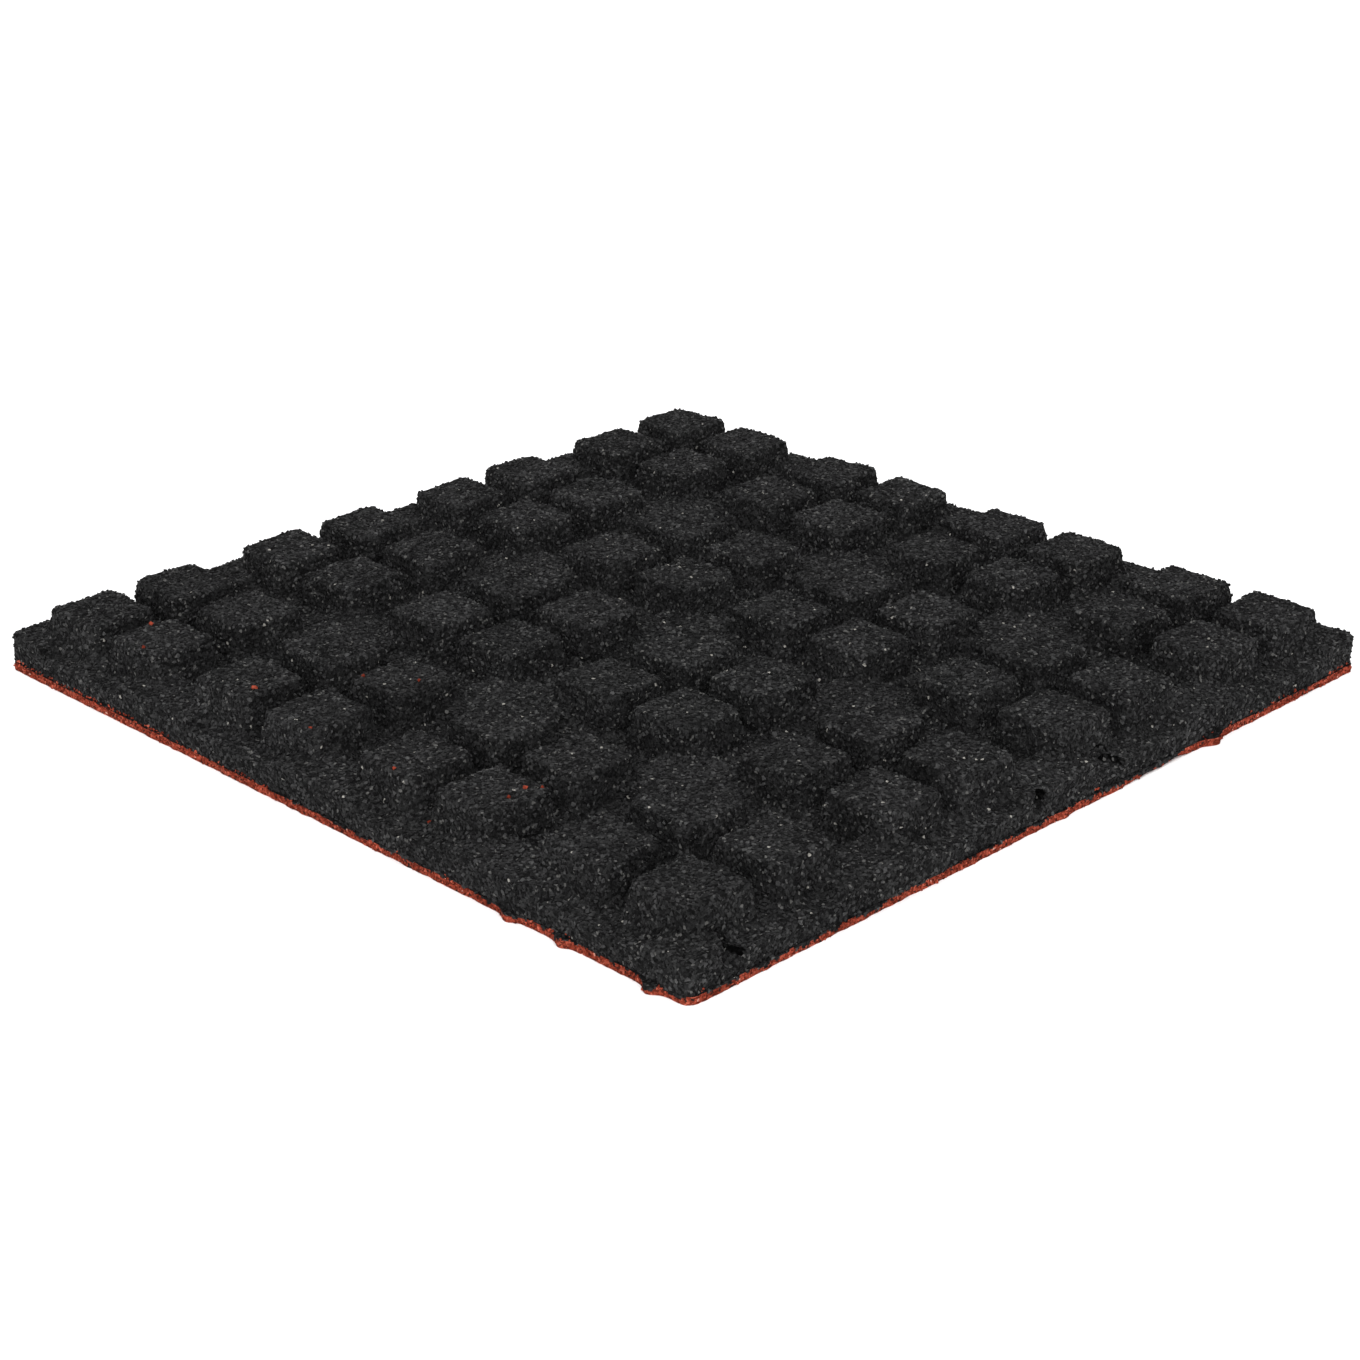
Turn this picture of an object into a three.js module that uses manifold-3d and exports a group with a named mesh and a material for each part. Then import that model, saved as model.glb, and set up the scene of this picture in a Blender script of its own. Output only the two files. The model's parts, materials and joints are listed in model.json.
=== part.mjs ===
// Rubber floor tile of bonded granulate, lying with its moulded underside up.
//
// A black slab carries square feet in pairs, and low square pads where the wide grooves cross.
// A thin red wear layer covers the walking face, which is the lowest one here.
// Millimetres, +Z up, origin at the middle of the lowest face.

import * as THREE from 'three';
import { mergeVertices } from 'three/addons/utils/BufferGeometryUtils.js';
import Module from 'manifold-3d';

// Driving dimensions: the tile
const tileSide = 500;
const tileHeight = 35;
const tileCornerRadius = 6;
const wearLayerThickness = 4;
const grooveFloorHeight = 15;

// Driving dimensions: the feet
const footPairsPerSide = 4;
const footSpacingInPair = 54;
const footWidth = 40;
const footCornerRadius = 4;
const footEdgeInset = 2;
const footEdgeDrop = 2.5;
const footDraftDegrees = 8;

// Driving dimensions: the pads
const padHeight = 21;
const padWidth = 60;
const padCornerRadius = 5;
const padEdgeBevel = 2;

// Fineness of the rounded shapes
const cornerSegments = 2;
const tileCornerSegments = 5;
const footEdgeSegments = 2;

// Sizes that follow from the ones above
const pairPitch = tileSide / footPairsPerSide;
const footDraft = Math.tan(THREE.MathUtils.degToRad(footDraftDegrees));
const slabThickness = grooveFloorHeight - wearLayerThickness;
const rootDepth = slabThickness / 2;

const wasm = await Module();
wasm.setup();

// A square with rounded corners, centred on the origin
function roundedSquare(side, radius, segments) {
  const reach = side / 2 - radius;
  const points = [];
  for (let corner = 0; corner < 4; corner += 1) {
    const start = (corner * Math.PI) / 2;
    const centreX = reach * Math.sign(Math.cos(start + Math.PI / 4));
    const centreY = reach * Math.sign(Math.sin(start + Math.PI / 4));
    for (let step = 0; step <= segments; step += 1) {
      const angle = start + (step / segments) * (Math.PI / 2);
      const x = centreX + radius * Math.cos(angle);
      const y = centreY + radius * Math.sin(angle);
      points.push(new THREE.Vector2(x, y));
    }
  }
  return new THREE.Shape(points);
}

// A straight block on a given outline, from one height to another
function block(outline, bottom, top) {
  const geometry = new THREE.ExtrudeGeometry(outline, { depth: top - bottom, bevelEnabled: false });
  geometry.translate(0, 0, bottom);
  return geometry;
}

// A block whose upper and lower edges are rounded, the outline being its widest section
function softBlock(outline, bottom, top, inset, drop, segments) {
  const geometry = new THREE.ExtrudeGeometry(outline, {
    depth: top - bottom - 2 * drop,
    bevelThickness: drop,
    bevelSize: inset,
    bevelOffset: -inset,
    bevelSegments: segments,
  });
  geometry.translate(0, 0, bottom + drop);
  return geometry;
}

// Leans the sides of a block outward below a given height, as a mould's draft does
function addDraft(geometry, side, fromHeight, slope) {
  const position = geometry.attributes.position;
  for (let index = 0; index < position.count; index += 1) {
    const depth = Math.max(fromHeight - position.getZ(index), 0);
    const widening = 1 + (2 * slope * depth) / side;
    position.setX(index, position.getX(index) * widening);
    position.setY(index, position.getY(index) * widening);
  }
  return geometry;
}

function toSolid(geometry) {
  const bare = geometry.clone();
  bare.deleteAttribute('normal');
  bare.deleteAttribute('uv');
  const merged = mergeVertices(bare, 1e-4);
  const vertProperties = new Float32Array(merged.attributes.position.array);
  const triVerts = new Uint32Array(merged.index.array);
  return new wasm.Manifold(new wasm.Mesh({ numProp: 3, vertProperties, triVerts }));
}

function toGeometry(solid) {
  const mesh = solid.getMesh();
  const geometry = new THREE.BufferGeometry();
  geometry.setAttribute('position', new THREE.BufferAttribute(mesh.vertProperties, 3));
  geometry.setIndex(new THREE.BufferAttribute(mesh.triVerts, 1));
  geometry.computeVertexNormals();
  return geometry;
}

function joinAll(solids) {
  return solids.reduce((whole, solid) => whole.add(solid));
}

// Centres of the feet along one side: two to each pair
function footCentres() {
  const centres = [];
  for (let pair = 0; pair < footPairsPerSide; pair += 1) {
    const middle = (pair + 0.5) * pairPitch - tileSide / 2;
    centres.push(middle - footSpacingInPair / 2, middle + footSpacingInPair / 2);
  }
  return centres;
}

// Centres of the pads along one side: one between pairs and one on each edge
function padCentres() {
  const centres = [];
  for (let place = 0; place <= footPairsPerSide; place += 1) {
    centres.push(place * pairPitch - tileSide / 2);
  }
  return centres;
}

// One solid repeated over the square grid of the given centres
function grid(solid, centres) {
  const copies = centres.flatMap((x) => centres.map((y) => solid.translate([x, y, 0])));
  return joinAll(copies);
}

function foot() {
  const outline = roundedSquare(footWidth, footCornerRadius, cornerSegments);
  const bottom = grooveFloorHeight - rootDepth;
  const shape = softBlock(outline, bottom, tileHeight, footEdgeInset, footEdgeDrop, footEdgeSegments);
  return toSolid(addDraft(shape, footWidth, tileHeight - footEdgeDrop, footDraft));
}

function pad() {
  const outline = roundedSquare(padWidth, padCornerRadius, cornerSegments);
  const bottom = grooveFloorHeight - rootDepth;
  return toSolid(softBlock(outline, bottom, padHeight, padEdgeBevel, padEdgeBevel, 1));
}

// Black base: slab, pads cut off at the tile's edges, and feet, moulded in one
function granulateBase() {
  const outline = roundedSquare(tileSide, tileCornerRadius, tileCornerSegments);
  const slab = toSolid(block(outline, wearLayerThickness, grooveFloorHeight));
  const mould = toSolid(block(outline, wearLayerThickness, tileHeight));
  const pads = grid(pad(), padCentres()).intersect(mould);
  const feet = grid(foot(), footCentres());
  return toGeometry(slab.add(pads).add(feet));
}

// Red wear layer under the whole slab
function wearLayer() {
  const outline = roundedSquare(tileSide, tileCornerRadius, tileCornerSegments);
  return block(outline, 0, wearLayerThickness);
}

const blackGranulate = new THREE.MeshStandardMaterial({ color: 0x262627, roughness: 0.92, metalness: 0 });
const redGranulate = new THREE.MeshStandardMaterial({ color: 0xa8361b, roughness: 0.85, metalness: 0 });

function piece(name, geometry, material) {
  const mesh = new THREE.Mesh(geometry, material);
  mesh.name = name;
  return mesh;
}

const tile = new THREE.Group();
tile.add(piece('granulate_base', granulateBase(), blackGranulate));
tile.add(piece('red_wear_layer', wearLayer(), redGranulate));

export default tile;
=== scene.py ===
# Rubber floor tile of bonded granulate, lying on its red wear layer with its feet up.
# Metres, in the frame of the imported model.

import json
import math
import random

import bmesh
import bpy
from mathutils import Matrix, Vector, noise

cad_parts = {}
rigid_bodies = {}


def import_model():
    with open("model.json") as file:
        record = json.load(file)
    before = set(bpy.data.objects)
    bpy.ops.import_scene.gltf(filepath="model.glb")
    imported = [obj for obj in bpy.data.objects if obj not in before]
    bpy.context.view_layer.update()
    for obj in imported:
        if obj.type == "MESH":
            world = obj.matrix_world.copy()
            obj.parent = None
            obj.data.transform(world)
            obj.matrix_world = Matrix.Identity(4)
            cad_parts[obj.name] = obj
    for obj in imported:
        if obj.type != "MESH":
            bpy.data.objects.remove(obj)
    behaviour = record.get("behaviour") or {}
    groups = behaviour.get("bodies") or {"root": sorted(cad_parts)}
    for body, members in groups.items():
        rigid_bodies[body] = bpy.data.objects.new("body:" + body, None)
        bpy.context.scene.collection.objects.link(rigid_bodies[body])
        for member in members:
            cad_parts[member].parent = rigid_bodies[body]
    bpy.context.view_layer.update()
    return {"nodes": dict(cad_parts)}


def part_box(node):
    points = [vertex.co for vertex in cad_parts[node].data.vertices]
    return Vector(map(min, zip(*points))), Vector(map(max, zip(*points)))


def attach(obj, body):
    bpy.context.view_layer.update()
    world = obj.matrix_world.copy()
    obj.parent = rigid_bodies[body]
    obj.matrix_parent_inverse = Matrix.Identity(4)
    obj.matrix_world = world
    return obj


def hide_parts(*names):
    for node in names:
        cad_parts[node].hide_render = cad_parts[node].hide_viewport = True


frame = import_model()
print("frame loaded")

millimetre = 0.001
baseLow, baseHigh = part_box("granulate_base")
wearLow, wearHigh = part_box("red_wear_layer")
tileHalf = baseHigh[0]
floorHeight = wearLow[2]
seamHeight = wearHigh[2]


def newNode(tree, kind, inputs=None, **settings):
    node = tree.nodes.new(kind)
    for name, value in settings.items():
        setattr(node, name, value)
    for key, value in (inputs or {}).items():
        if isinstance(value, bpy.types.NodeSocket):
            tree.links.new(value, node.inputs[key])
        else:
            node.inputs[key].default_value = value
    return node


def newPiece(name, mesh):
    piece = bpy.data.objects.new(name, mesh)
    bpy.context.collection.objects.link(piece)
    return piece


def applyModifiers(piece):
    scene = bpy.context.evaluated_depsgraph_get()
    finished = bpy.data.meshes.new_from_object(piece.evaluated_get(scene))
    piece.modifiers.clear()
    piece.data = finished


def setMaterial(piece, material):
    piece.data.materials.clear()
    piece.data.materials.append(material)


def bell(distance, width):
    return math.exp(-(distance / width) ** 2)


# sums soft noise of several sizes: (size, height) pairs
def lumpAt(place, lumps, seed=0):
    offset = Vector((seed, 0, 0))
    return sum(height * noise.noise(place / size + offset) for size, height in lumps)


# the photograph's viewing angle
cameraSetup = {
    "place": (0.993, -1.010, 0.619),
    "azimuth": 44.60,
    "elevation": 23.83,
    "roll": 0.23,
    "lens": 77.9,
    "sensorWidth": 36,
    "clipEnd": 50,
}


def addCamera():
    azimuth = math.radians(cameraSetup["azimuth"])
    elevation = math.radians(cameraSetup["elevation"])
    level = math.cos(elevation)
    back = Vector((math.sin(azimuth) * level, -math.cos(azimuth) * level, math.sin(elevation)))
    turn = back.to_track_quat("Z", "Y").to_matrix().to_4x4()
    roll = Matrix.Rotation(math.radians(cameraSetup["roll"]), 4, "Z")
    data = bpy.data.cameras.new("camera")
    data.lens = cameraSetup["lens"]
    data.sensor_width = cameraSetup["sensorWidth"]
    data.clip_end = cameraSetup["clipEnd"]
    camera = bpy.data.objects.new("camera", data)
    bpy.context.collection.objects.link(camera)
    camera.matrix_world = Matrix.Translation(cameraSetup["place"]) @ turn @ roll
    bpy.context.scene.camera = camera


addCamera()
print("camera set")


# grain that both rubbers share
grain = {
    "fineSize": 0.7 * millimetre,
    "broadSize": 28 * millimetre,
    "detail": 2.0,
    "noiseSpan": (0.3, 0.7),  # where most of the noise lies
    "fineShade": (0.65, 1.4),
    "broadShade": (0.8, 1.2),
    "dullBelow": 0.35,  # a darker tone than this has no sheen
    "bumpHeight": 0.4 * millimetre,
}
# colours are linear; a tone of 0 to 1 picks each granule's shade
blackFinish = {
    "shades": ((0.0, (0.0085, 0.0085, 0.0086)), (0.45, (0.0165, 0.0165, 0.0167)),
               (0.85, (0.030, 0.030, 0.0303)), (1.0, (0.046, 0.046, 0.046))),
    # the glint colour is a painted highlight: pale specks on a share of the cells stand in for
    # facets catching the light
    "paintedGlint": (0.075, 0.074, 0.071, 1),
    "paintedGlintShare": 0.02,
    "fleck": (0.24, 0.23, 0.21, 1),
    "fleckShare": 0.0012,
    "cutSize": 1.25 * millimetre,
    "bump": 0.5,
    "roughness": (0.45, 0.75),
    "specular": 0.06,
}
redFinish = {
    "shades": ((0.0, (0.064, 0.012, 0.008)), (0.35, (0.160, 0.027, 0.015)),
               (0.8, (0.270, 0.047, 0.026)), (1.0, (0.39, 0.090, 0.054))),
    # painted highlight: pale salmon specks stand in for sparkling granules
    "paintedGlint": (0.48, 0.24, 0.19, 1),
    "paintedGlintShare": 0.045,
    "fleck": (0.02, 0.012, 0.010, 1),
    "fleckShare": 0.04,
    "cutSize": 1.1 * millimetre,
    "bump": 0.5,
    "roughness": (0.5, 0.8),
    "specular": 0.06,
}


def softNoise(tree, place, size):
    cloud = newNode(tree, "ShaderNodeTexNoise",
                    {"Vector": place, "Scale": 1 / size, "Detail": grain["detail"]})
    return cloud.outputs["Fac"]


def shadeFrom(tree, value, shades):
    low, high = grain["noiseSpan"]
    ranged = newNode(tree, "ShaderNodeMapRange",
                     {"Value": value, "From Min": low, "From Max": high,
                      "To Min": shades[0], "To Max": shades[1]})
    return ranged.outputs["Result"]


def rubberMaterial(name, finish, shade, dim=1.0):
    material = bpy.data.materials.new(name)
    material.use_nodes = True
    tree = material.node_tree
    tree.nodes.clear()
    place = newNode(tree, "ShaderNodeTexCoord").outputs["Object"]
    cuts = newNode(tree, "ShaderNodeTexVoronoi",
                   {"Vector": place, "Scale": 1 / finish["cutSize"]})
    cutTone = newNode(tree, "ShaderNodeSeparateColor", {"Color": cuts.outputs["Color"]})
    tone = cutTone.outputs[1]
    if shade == "granule":
        tone = newNode(tree, "ShaderNodeAttribute", attribute_name="grainTone").outputs["Fac"]
    ramp = newNode(tree, "ShaderNodeValToRGB", {"Fac": tone})
    stops = ramp.color_ramp.elements
    for number, (position, colour) in enumerate(finish["shades"]):
        stop = stops[number] if number < 2 else stops.new(position)
        stop.position = position
        stop.color = (*(channel * dim for channel in colour), 1)
    fine = softNoise(tree, place, grain["fineSize"])
    broad = softNoise(tree, place, grain["broadSize"])
    shading = newNode(tree, "ShaderNodeMath",
                      {0: shadeFrom(tree, fine, grain["fineShade"]),
                       1: shadeFrom(tree, broad, grain["broadShade"])},
                      operation="MULTIPLY")
    worn = newNode(tree, "ShaderNodeVectorMath",
                   {0: ramp.outputs["Color"], 3: shading.outputs[0]}, operation="SCALE")
    colour = worn.outputs["Vector"]
    # glints are painted highlights; flecks are granules of another colour
    for mark in ("paintedGlint", "fleck"):
        chosen = newNode(tree, "ShaderNodeMath",
                         {0: cutTone.outputs[0], 1: 1 - finish[mark + "Share"]},
                         operation="GREATER_THAN")
        colour = newNode(tree, "ShaderNodeMix",
                         {0: chosen.outputs[0], 6: colour, 7: finish[mark]},
                         data_type="RGBA").outputs[2]
    sheen = newNode(tree, "ShaderNodeMapRange",
                    {"Value": tone, "From Min": grain["dullBelow"],
                     "To Max": finish["specular"]})
    rough = newNode(tree, "ShaderNodeMapRange",
                    {"Value": fine, "To Min": finish["roughness"][0],
                     "To Max": finish["roughness"][1]})
    height = newNode(tree, "ShaderNodeMath", {0: cuts.outputs["Distance"], 1: fine},
                     operation="ADD")
    bump = newNode(tree, "ShaderNodeBump",
                   {"Strength": finish["bump"], "Distance": grain["bumpHeight"],
                    "Height": height.outputs[0]})
    surface = newNode(tree, "ShaderNodeBsdfPrincipled",
                      {"Base Color": colour, "Roughness": rough.outputs["Result"],
                       "Specular IOR Level": sheen.outputs["Result"],
                       "Normal": bump.outputs["Normal"]})
    newNode(tree, "ShaderNodeOutputMaterial", {"Surface": surface.outputs["BSDF"]})
    return material


blackGranule = rubberMaterial("black granules", blackFinish, "granule")
# the body's binder: its own black, dimmed to 0.6 as painted shade in the gaps between granules
gapShadedBinder = rubberMaterial("black binder with painted gap shade", blackFinish, "cut", dim=0.6)
# dimmed to 0.15 as painted shade inside the pits
pitShadeBinder = rubberMaterial("pit binder with painted shade", blackFinish, "cut", dim=0.15)
redGranule = rubberMaterial("red granules", redFinish, "granule")
redBinder = rubberMaterial("red binder", redFinish, "cut", dim=0.8)
print("materials made")


# the moulded body, a little inside the granules that cover it
body = {
    "mergeWithin": 0.01 * millimetre,
    "voxel": 2.35 * millimetre,
    "openUpTo": 0.2 * millimetre,  # above the seam, where the underside is cut away
    "inset": 0.9 * millimetre,
    "seed": 5,
    "drift": (45 * millimetre, 1.3 * millimetre),  # slow unevenness: size and reach
    "lumps": ((15 * millimetre, 0.9 * millimetre), (6 * millimetre, 0.7 * millimetre)),
    # places where granules have come away from the side at x = half: y, z, radius, depth
    "pits": ((-222.5, 15.5, 6.4, 13), (-16.5, 15, 4.7, 12), (44, 14.2, 5.0, 12)),
    "pitRoom": 27 * millimetre,  # how far in the sinking reaches
    "pitSteepness": 6,
    "pitRim": 0.2 * millimetre,  # edges sunk deeper than this are cut finer
    "pitCuts": 2,
}


def pitAt(place):
    deepest = 0
    for y, z, radius, depth in body["pits"]:
        distance = math.hypot(place.y / millimetre - y, place.z / millimetre - z)
        deepest = max(deepest, depth * math.exp(-(distance / radius) ** body["pitSteepness"]))
    return deepest * millimetre


def sinkPits(shape):
    start = tileHalf - body["pitRoom"]
    sunk = {v for v in shape.verts if v.co.x > start and pitAt(v.co) > body["pitRim"]}
    nearEdges = [e for e in shape.edges if any(vert in sunk for vert in e.verts)]
    bmesh.ops.subdivide_edges(shape, edges=nearEdges, cuts=body["pitCuts"], use_grid_fill=True)
    for vert in shape.verts:
        if vert.co.x > start:
            share = (vert.co.x - start) / body["pitRoom"]
            vert.co.x -= pitAt(vert.co) * share ** 2


def bodyPiece():
    mesh = frame["nodes"]["granulate_base"].data.copy()
    shape = bmesh.new()
    shape.from_mesh(mesh)
    bmesh.ops.remove_doubles(shape, verts=shape.verts, dist=body["mergeWithin"])
    shape.to_mesh(mesh)
    shape.free()
    exact = newPiece("mould", mesh)
    piece = newPiece("moulded_body", mesh.copy())
    remesh = piece.modifiers.new("even faces", "REMESH")
    remesh.mode = "VOXEL"
    remesh.voxel_size = body["voxel"]
    fit = piece.modifiers.new("crisp edges", "SHRINKWRAP")
    fit.target = exact
    applyModifiers(piece)
    bpy.data.objects.remove(exact)
    shape = bmesh.new()
    shape.from_mesh(piece.data)
    shape.normal_update()
    openHeight = seamHeight + body["openUpTo"]
    underFaces = [f for f in shape.faces if f.calc_center_median().z < openHeight]
    bmesh.ops.delete(shape, geom=underFaces, context="FACES")
    shape.normal_update()
    noise.seed_set(body["seed"])
    driftSize, driftReach = body["drift"]
    for vert in shape.verts:
        drift = noise.noise_vector(vert.co / driftSize) * driftReach
        shift = lumpAt(vert.co, body["lumps"]) - body["inset"]
        vert.co += vert.normal * (shift + drift.dot(vert.normal))
    sinkPits(shape)
    rim = [e for e in shape.edges if e.is_boundary]
    for vert in {v for e in rim for v in e.verts}:
        vert.co.z = seamHeight
    bmesh.ops.holes_fill(shape, edges=rim, sides=0)
    bmesh.ops.recalc_face_normals(shape, faces=shape.faces)
    shape.to_mesh(piece.data)
    shape.free()
    return piece


moulded = bodyPiece()
setMaterial(moulded, gapShadedBinder)
print("body", len(moulded.data.polygons), "faces")


# the thin red sheet under the body
wear = {
    "cells": 200,
    "cornerRadius": 6 * millimetre,
    "inset": 0.6 * millimetre,
    "rows": 4,
    "lumps": ((9 * millimetre, 0.5 * millimetre), (4 * millimetre, 0.5 * millimetre)),
    "lumpSeed": 5,
    "soleLumps": ((3 * millimetre, 0.9 * millimetre), (11 * millimetre, 0.3 * millimetre)),
    "soleSeed": 9,
    "sideDepth": 4 * millimetre,  # how far in from a side its flash and chips reach
    # blobs of flash on the side at y = -half: place along x, reach, length
    "flash": ((139, 3.4, 5), (173, 3.0, 4), (228, 4.4, 5)),
    # and on the side at x = half: place along y, reach, length
    "sideFlash": ((121, 3.6, 6), (2, 0.9, 4)),
    # bottom edge worn off there: place along y, height, length
    "chips": ((91, 2.0, 8), (68, 1.3, 13), (205, 0.6, 6)),
}


def bellsAt(position, bells):
    return sum(height * bell(position / millimetre - middle, length)
               for middle, height, length in bells) * millimetre


def onNearSide(place):
    return place.y < -tileHalf + wear["sideDepth"]


def onRightSide(place):
    return place.x > tileHalf - wear["sideDepth"]


def wearPiece():
    mesh = bpy.data.meshes.new("wear_sheet")
    piece = newPiece("wear_sheet", mesh)
    shape = bmesh.new()
    bmesh.ops.create_grid(shape, x_segments=wear["cells"], y_segments=wear["cells"], size=tileHalf)
    reach = tileHalf - wear["cornerRadius"]
    for vert in shape.verts:
        overX = abs(vert.co.x) - reach
        overY = abs(vert.co.y) - reach
        if overX > 0 and overY > 0:
            pull = max(overX, overY) / math.hypot(overX, overY)
            vert.co.x = math.copysign(reach + overX * pull, vert.co.x)
            vert.co.y = math.copysign(reach + overY * pull, vert.co.y)
    rowHeight = (seamHeight - floorHeight) / wear["rows"]
    for vert in shape.verts:
        if not vert.is_boundary:
            rise = lumpAt(vert.co, wear["soleLumps"], wear["soleSeed"])
            vert.co.z = floorHeight + max(rise, 0)
    rim = [e for e in shape.edges if e.is_boundary]
    bmesh.ops.subdivide_edges(shape, edges=rim, cuts=1)
    edges = [e for e in shape.edges if e.is_boundary]
    for row in range(wear["rows"]):
        grown = bmesh.ops.extrude_edge_only(shape, edges=edges)["geom"]
        verts = [g for g in grown if isinstance(g, bmesh.types.BMVert)]
        bmesh.ops.translate(shape, verts=verts, vec=(0, 0, rowHeight))
        edges = [g for g in grown if isinstance(g, bmesh.types.BMEdge)]
    bmesh.ops.holes_fill(shape, edges=[e for e in shape.edges if e.is_boundary], sides=0)
    bmesh.ops.recalc_face_normals(shape, faces=shape.faces)
    shape.verts.index_update()
    # the extrusion leaves its faces in a different order each run
    shape.faces.sort(key=lambda face: sum(vert.index ** 2 for vert in face.verts))
    for vert in shape.verts:
        if max(abs(vert.co.x), abs(vert.co.y)) > reach:
            outward = Vector((vert.co.x, vert.co.y, 0)).normalized()
            vert.co += outward * (lumpAt(vert.co, wear["lumps"], wear["lumpSeed"]) - wear["inset"])
            if onNearSide(vert.co):
                vert.co.y -= bellsAt(vert.co.x, wear["flash"])
            if onRightSide(vert.co):
                vert.co.z = max(vert.co.z, bellsAt(vert.co.y, wear["chips"]))
                vert.co.x += bellsAt(vert.co.y, wear["sideFlash"])
    shape.to_mesh(mesh)
    shape.free()
    return piece


wearSheet = wearPiece()
setMaterial(wearSheet, redBinder)
print("wear sheet", len(wearSheet.data.polygons), "faces")


# granules over the surfaces, scattered by nodes and realized
granules = {
    "shapes": 9,
    "cornersEach": 7,
    "cornerTurn": 2.4,  # radians from one corner to the next
    "turnJitter": 0.5,
    "cornerReach": (0.75, 1.2),
    "seed": 7,
    "seedStep": 10,  # from one patch to the next
    "crowding": 2,  # points tried on each square of the spacing
    "floorGap": 0.1 * millimetre,
    "black": {"spacing": 2.1 * millimetre, "radius": 1.4 * millimetre},
    "red": {"spacing": 1.6 * millimetre, "radius": 1.0 * millimetre},
    "depth": (-0.55, 0.25),  # of the radius, along the surface's normal
    "scale": (0.5, 1.35),
    "pressedAt": 0.7 * millimetre,  # the mould presses what stands out further
    "pressedShare": 0.8,
    "seamWave": ((30 * millimetre, 1.2 * millimetre), (7 * millimetre, 2.0 * millimetre),
                 (3 * millimetre, 1.6 * millimetre)),
    "seamSeed": 3,
    "seamRise": 0.4 * millimetre,
    "seamLowest": 2.4 * millimetre,
    # how far the seam lies above its mean height: place along the side, rise, length
    "nearSeam": ((-150, 1.5, 95), (38, -1.7, 30), (115, -1.7, 45), (240, -1.2, 45)),
    "rightSeam": ((-180, -1.9, 65), (-148, -0.8, 12), (76, -4.3, 16), (-40, -0.5, 60),
                  (30, -0.8, 25)),
}
patchNames = ("near", "right", "far", "left")
redPatch = len(patchNames)
barePatch = -1
# limits that decide a face's patch
patchLimits = {
    "sideDepth": 5 * millimetre,
    "upright": 0.8,  # an upright face's normal has less height than this
    "downward": -0.5,
    "bond": 0.1 * millimetre,  # above the seam, where the sheet is bonded
    "pitReach": 14 * millimetre,  # bare binder lies this far in from the side
    "pitSunk": 1.0 * millimetre,
    "pitNormal": 0.6,
}


def seamAt(place):
    flat = Vector((place.x, place.y, 0))
    wave = lumpAt(flat, granules["seamWave"], granules["seamSeed"])
    height = max(seamHeight + granules["seamRise"] + wave, granules["seamLowest"])
    if onRightSide(place):
        return height + bellsAt(place.y, granules["rightSeam"])
    if onNearSide(place):
        return height + bellsAt(place.x, granules["nearSeam"])
    return height


def patchOf(centre, normal):
    limits = patchLimits
    onSide = max(abs(centre.x), abs(centre.y)) > tileHalf - limits["sideDepth"]
    if onSide and abs(normal.z) < limits["upright"] and centre.z < seamAt(centre):
        return redPatch
    inPit = (centre.x > tileHalf - limits["pitReach"] and normal.z < limits["pitNormal"]
             and pitAt(centre) > limits["pitSunk"])
    atBond = centre.z < seamHeight + limits["bond"] and not onSide
    if inPit or normal.z < limits["downward"] or atBond:
        return barePatch
    if centre.x > 0:
        return 0 if centre.y < 0 else 1
    return 3 if centre.y < 0 else 2


def scatterSurface():
    shape = bmesh.new()
    shape.from_mesh(moulded.data)
    shape.from_mesh(wearSheet.data)
    patch = shape.faces.layers.int.new("patch")
    shape.normal_update()
    for face in shape.faces:
        face[patch] = patchOf(face.calc_center_median(), face.normal)
    mesh = bpy.data.meshes.new("scatter surface")
    shape.to_mesh(mesh)
    shape.free()
    return mesh


# cut crumbs of rubber: hulls round a few points near a sphere
def crumbShelf():
    shelf = bpy.data.collections.new("crumbs")
    draw = random.Random(granules["seed"])
    jitter = granules["turnJitter"]
    for number in range(granules["shapes"]):
        shape = bmesh.new()
        for corner in range(granules["cornersEach"]):
            height = 1 - 2 * (corner + 0.5) / granules["cornersEach"]
            ring = math.sqrt(1 - height * height)
            angle = granules["cornerTurn"] * corner + draw.uniform(-jitter, jitter)
            reach = draw.uniform(*granules["cornerReach"])
            shape.verts.new((reach * ring * math.cos(angle), reach * ring * math.sin(angle),
                             reach * height))
        hull = bmesh.ops.convex_hull(shape, input=shape.verts)
        bmesh.ops.delete(shape, geom=hull["geom_interior"], context="VERTS")
        bmesh.ops.recalc_face_normals(shape, faces=shape.faces)
        mesh = bpy.data.meshes.new("crumb")
        shape.to_mesh(mesh)
        shape.free()
        shelf.objects.link(bpy.data.objects.new("crumb_%d" % number, mesh))
    return shelf


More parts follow.
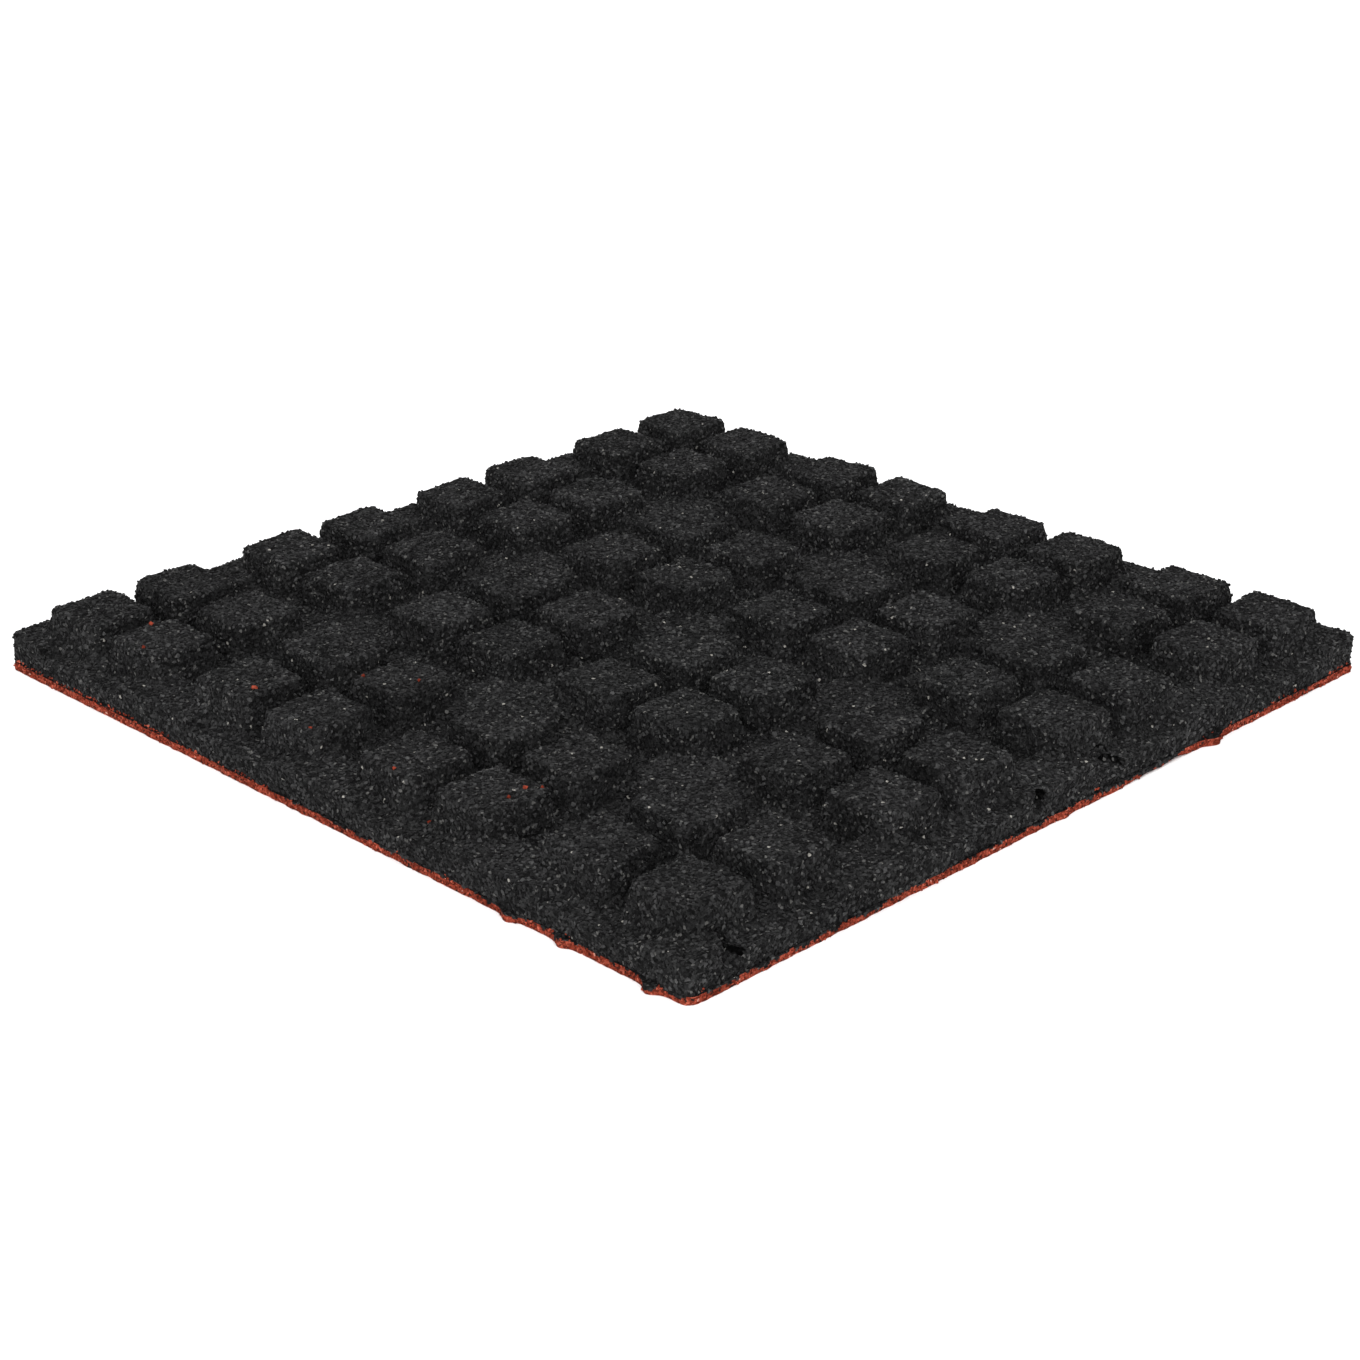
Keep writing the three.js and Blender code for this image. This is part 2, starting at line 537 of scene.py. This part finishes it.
def scatterNodes(shelf, patch, size, seed):
    spacing, radius = size["spacing"], size["radius"]
    small, large = (radius * part for part in granules["scale"])
    tree = bpy.data.node_groups.new("scatter", "GeometryNodeTree")
    tree.interface.new_socket("Geometry", in_out="INPUT", socket_type="NodeSocketGeometry")
    tree.interface.new_socket("Geometry", in_out="OUTPUT", socket_type="NodeSocketGeometry")
    start = newNode(tree, "NodeGroupInput")
    which = newNode(tree, "GeometryNodeInputNamedAttribute", {"Name": "patch"}, data_type="INT")
    chosen = newNode(tree, "FunctionNodeCompare", {2: which.outputs["Attribute"], 3: patch},
                     data_type="INT", operation="EQUAL")
    points = newNode(tree, "GeometryNodeDistributePointsOnFaces",
                     {"Mesh": start.outputs["Geometry"], "Selection": chosen.outputs["Result"],
                      "Distance Min": spacing,
                      "Density Max": granules["crowding"] / spacing ** 2, "Seed": seed},
                     distribute_method="POISSON")
    depth = newNode(tree, "FunctionNodeRandomValue",
                    {2: granules["depth"][0] * radius, 3: granules["depth"][1] * radius,
                     "Seed": seed + 1}, data_type="FLOAT")
    offset = newNode(tree, "ShaderNodeVectorMath",
                     {0: points.outputs["Normal"], 3: depth.outputs[1]}, operation="SCALE")
    placed = newNode(tree, "GeometryNodeSetPosition",
                     {"Geometry": points.outputs["Points"], "Offset": offset.outputs["Vector"]})
    shapes = newNode(tree, "GeometryNodeCollectionInfo",
                     {"Collection": shelf, "Separate Children": True, "Reset Children": True})
    turn = newNode(tree, "FunctionNodeRandomValue",
                   {0: (0, 0, 0), 1: (2 * math.pi,) * 3, "Seed": seed + 2},
                   data_type="FLOAT_VECTOR")
    scale = newNode(tree, "FunctionNodeRandomValue",
                    {0: (small,) * 3, 1: (large,) * 3, "Seed": seed + 3}, data_type="FLOAT_VECTOR")
    pick = newNode(tree, "FunctionNodeRandomValue",
                   {4: 0, 5: granules["shapes"] - 1, "Seed": seed + 4}, data_type="INT")
    copies = newNode(tree, "GeometryNodeInstanceOnPoints",
                     {"Points": placed.outputs["Geometry"], "Instance": shapes.outputs[0],
                      "Pick Instance": True, "Instance Index": pick.outputs[2],
                      "Rotation": turn.outputs[0], "Scale": scale.outputs[0]})
    tone = newNode(tree, "FunctionNodeRandomValue", {2: 0.0, 3: 1.0, "Seed": seed + 5},
                   data_type="FLOAT")
    toned = newNode(tree, "GeometryNodeStoreNamedAttribute",
                    {"Geometry": copies.outputs["Instances"], "Name": "grainTone",
                     "Value": tone.outputs[1]}, data_type="FLOAT", domain="INSTANCE")
    real = newNode(tree, "GeometryNodeRealizeInstances", {"Geometry": toned.outputs["Geometry"]})
    here = newNode(tree, "GeometryNodeInputPosition")
    nearest = newNode(tree, "GeometryNodeProximity", {"Geometry": start.outputs["Geometry"]},
                      target_element="FACES")
    facing = newNode(tree, "GeometryNodeSampleNearestSurface",
                     {"Mesh": start.outputs["Geometry"],
                      "Value": newNode(tree, "GeometryNodeInputNormal").outputs["Normal"]},
                     data_type="FLOAT_VECTOR")
    away = newNode(tree, "ShaderNodeVectorMath",
                   {0: here.outputs["Position"], 1: nearest.outputs["Position"]},
                   operation="SUBTRACT")
    reach = newNode(tree, "ShaderNodeVectorMath",
                    {0: away.outputs["Vector"], 1: facing.outputs["Value"]},
                    operation="DOT_PRODUCT")
    # a straight slope that starts where the mould presses
    excess = newNode(tree, "ShaderNodeMapRange",
                     {"Value": reach.outputs["Value"], "From Min": granules["pressedAt"],
                      "From Max": granules["pressedAt"] + 1, "To Min": 0.0,
                      "To Max": -granules["pressedShare"]})
    pressed = newNode(tree, "ShaderNodeVectorMath",
                      {0: facing.outputs["Value"], 3: excess.outputs["Result"]},
                      operation="SCALE")
    flush = newNode(tree, "ShaderNodeVectorMath",
                    {0: here.outputs["Position"], 1: pressed.outputs["Vector"]}, operation="ADD")
    parts = newNode(tree, "ShaderNodeSeparateXYZ", {"Vector": flush.outputs["Vector"]})
    lifted = newNode(tree, "ShaderNodeMath",
                     {0: parts.outputs["Z"], 1: floorHeight + granules["floorGap"]},
                     operation="MAXIMUM")
    above = newNode(tree, "ShaderNodeCombineXYZ",
                    {"X": parts.outputs["X"], "Y": parts.outputs["Y"], "Z": lifted.outputs[0]})
    rested = newNode(tree, "GeometryNodeSetPosition",
                     {"Geometry": real.outputs["Geometry"], "Position": above.outputs["Vector"]})
    newNode(tree, "NodeGroupOutput", {"Geometry": rested.outputs["Geometry"]})
    return tree


def scatterPiece(name, surface, shelf, patch, size, material):
    piece = newPiece(name, surface.copy())
    nodes = piece.modifiers.new("granules", "NODES")
    seed = granules["seed"] + granules["seedStep"] * patch
    nodes.node_group = scatterNodes(shelf, patch, size, seed)
    applyModifiers(piece)
    setMaterial(piece, material)
    print(name, len(piece.data.polygons), "faces")
    return piece


# the sheet is black where the body is bonded to it: on top, and round the rim above the seam
def paintBond():
    wearSheet.data.materials.append(gapShadedBinder)
    for face in wearSheet.data.polygons:
        walkedOn = face.normal.z <= -patchLimits["upright"]
        if not walkedOn and patchOf(face.center, face.normal) != redPatch:
            face.material_index = 1


# no granule covers the binder inside the pits; these bare faces get a binder dimmed as painted
# shade
def paintPitShade():
    moulded.data.materials.append(pitShadeBinder)
    for face in moulded.data.polygons:
        if patchOf(face.center, face.normal) == barePatch:
            face.material_index = 1


paintBond()
paintPitShade()
surface = scatterSurface()
shelf = crumbShelf()
blackPieces = [scatterPiece("granules_" + name, surface, shelf, number, granules["black"],
                            blackGranule)
               for number, name in enumerate(patchNames)]
redPiece = scatterPiece("red_granules", surface, shelf, redPatch, granules["red"], redGranule)
print("granules scattered")


# a few red granules that strayed onto the black side: x, y and half width in millimetres, tone
strays = {
    "places": ((-177, -210, 1.4, 0.55), (-154, -231, 1.1, 0.2), (-76, -222, 2.6, 0.85),
               (-21, -231, 1.1, 0.3), (-51, -174, 1.2, 0.2), (-25, -160, 1.1, 0.3),
               (40, -231, 1.2, 0.45), (64, -231, 1.1, 0.3), (101, -215, 1.1, 0.3),
               (99, -203, 1.6, 0.75), (105, -198, 1.1, 0.3)),
    "sink": 0.35,  # share of the half width
    "turnMost": 6,  # radians
    "dropHeight": 100,
}


def strayPiece():
    draw = random.Random(granules["seed"] + 1)
    caster = moulded.evaluated_get(bpy.context.evaluated_depsgraph_get())
    crumbMeshes = [crumb.data for crumb in shelf.objects]
    shape = bmesh.new()
    grainTone = shape.verts.layers.float.new("grainTone")
    for x, y, width, tone in strays["places"]:
        above = Vector((x, y, strays["dropHeight"])) * millimetre
        place = caster.ray_cast(above, Vector((0, 0, -1)))[1]
        before = len(shape.verts)
        shape.from_mesh(draw.choice(crumbMeshes))
        verts = list(shape.verts)[before:]
        bmesh.ops.scale(shape, verts=verts, vec=(width * millimetre,) * 3)
        turn = Matrix.Rotation(draw.uniform(0, strays["turnMost"]), 3, "Z")
        bmesh.ops.rotate(shape, verts=verts, matrix=turn)
        seat = body["inset"] - strays["sink"] * width * millimetre
        bmesh.ops.translate(shape, verts=verts, vec=place + Vector((0, 0, seat)))
        for vert in verts:
            vert[grainTone] = tone
    mesh = bpy.data.meshes.new("stray_red_granules")
    shape.to_mesh(mesh)
    shape.free()
    return newPiece("stray_red_granules", mesh)


strayRed = strayPiece()
setMaterial(strayRed, redGranule)
for crumb in list(shelf.objects):
    bpy.data.objects.remove(crumb)
bpy.data.collections.remove(shelf)
bpy.data.meshes.remove(surface)
print("stray granules seated")


# pale floor and soft studio light
studio = {
    "floorHalf": 30.0,
    "floorColour": (0.95, 0.95, 0.95, 1),
    "floorRoughness": 0.9,
    "worldStrength": 0.15,
    # wide soft lights: where each one shines from, strength, spread in degrees
    "lights": (((0, 0, 1), 3.8, 110), ((1, -1, 0.5), 2.9, 60)),
}


def addStudio():
    mesh = bpy.data.meshes.new("floor")
    shape = bmesh.new()
    bmesh.ops.create_grid(shape, x_segments=1, y_segments=1, size=studio["floorHalf"])
    shape.to_mesh(mesh)
    shape.free()
    floor = newPiece("floor", mesh)
    paint = bpy.data.materials.new("pale floor")
    paint.use_nodes = True
    gloss = paint.node_tree.nodes["Principled BSDF"]
    gloss.inputs["Base Color"].default_value = studio["floorColour"]
    gloss.inputs["Roughness"].default_value = studio["floorRoughness"]
    floor.data.materials.append(paint)
    world = bpy.data.worlds.new("studio")
    world.use_nodes = True
    sky = world.node_tree.nodes["Background"]
    sky.inputs["Color"].default_value = (1, 1, 1, 1)
    sky.inputs["Strength"].default_value = studio["worldStrength"]
    bpy.context.scene.world = world
    for source, strength, spread in studio["lights"]:
        light = bpy.data.lights.new("soft light", "SUN")
        light.energy = strength
        light.angle = math.radians(spread)
        lamp = bpy.data.objects.new("soft light", light)
        bpy.context.collection.objects.link(lamp)
        lamp.rotation_euler = Vector(source).to_track_quat("Z", "Y").to_euler()
    bpy.context.scene.view_settings.view_transform = "Standard"


addStudio()
print("studio lit")

for piece in [moulded] + blackPieces:
    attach(piece, "root")
    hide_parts("granulate_base")
for piece in [wearSheet, redPiece, strayRed]:
    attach(piece, "root")
    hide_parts("red_wear_layer")
